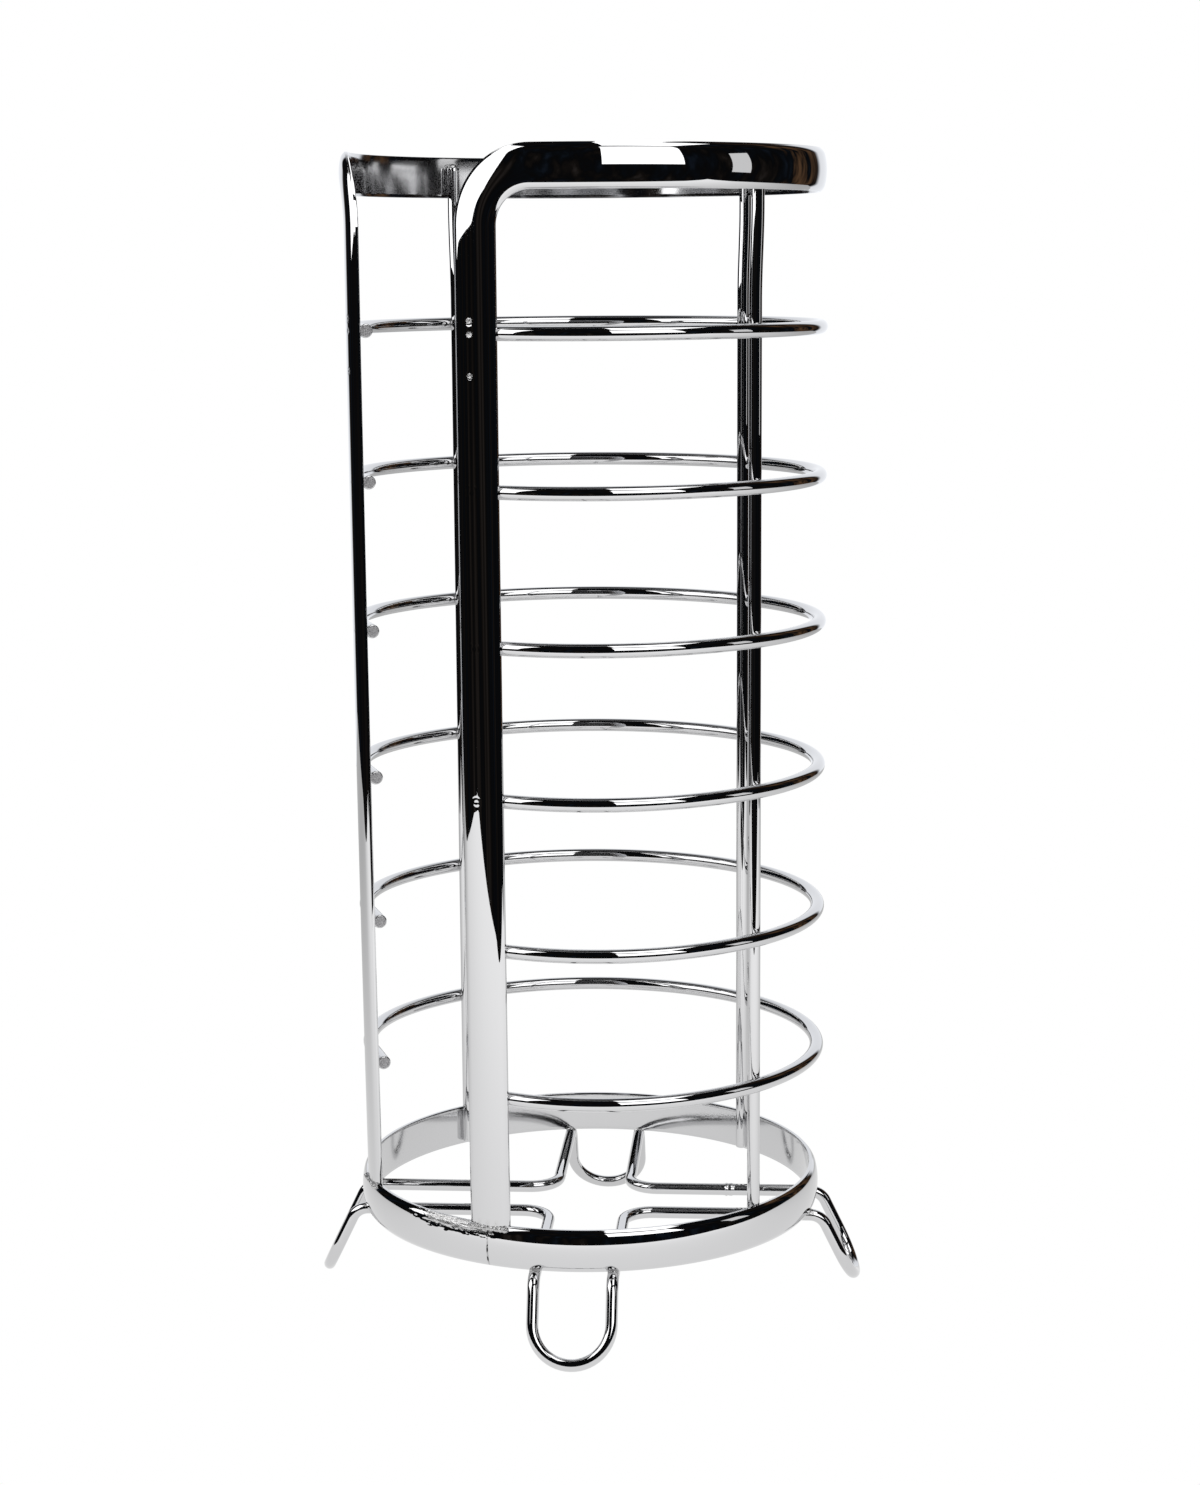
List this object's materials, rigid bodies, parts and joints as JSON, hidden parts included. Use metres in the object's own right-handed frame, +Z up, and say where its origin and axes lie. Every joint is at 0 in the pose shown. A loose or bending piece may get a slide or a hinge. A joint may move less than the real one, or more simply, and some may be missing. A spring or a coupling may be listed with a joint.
{
  "type": "umbrella stand",
  "caption": "Open cylindrical stand of wire rings and upright rods between a bar-steel base ring and rim, with one side left open and splayed wire loop feet.",
  "frame": {"origin": "centre of the four feet on the floor", "axes": "+Z up; +Y towards the back foot, +X towards the right foot (the foot cross is turned 4.2 degrees clockwise from these axes); the side opening faces 220.5 degrees round +Z from +X, front left"},
  "size_m": [0.2468, 0.2468, 0.5066],
  "materials": {
    "chrome_plate": "polished",
    "chrome_weld": "plated over rough weld metal"
  },
  "bodies": {
    "root": {"base_ring": "chrome_plate", "hoop_frame": "chrome_plate", "foot_wire": "chrome_plate", "rod_back_right": "chrome_plate", "rod_back_left": "chrome_plate", "rod_front_right": "chrome_plate", "wire_ring_1": "chrome_plate", "wire_ring_2": "chrome_plate", "wire_ring_3": "chrome_plate", "wire_ring_4": "chrome_plate", "wire_ring_5": "chrome_plate", "wire_ring_6": "chrome_plate", "rod_welds": "chrome_weld", "upright_welds": "chrome_weld", "foot_welds": "chrome_weld"}
  },
  "joints": []
}
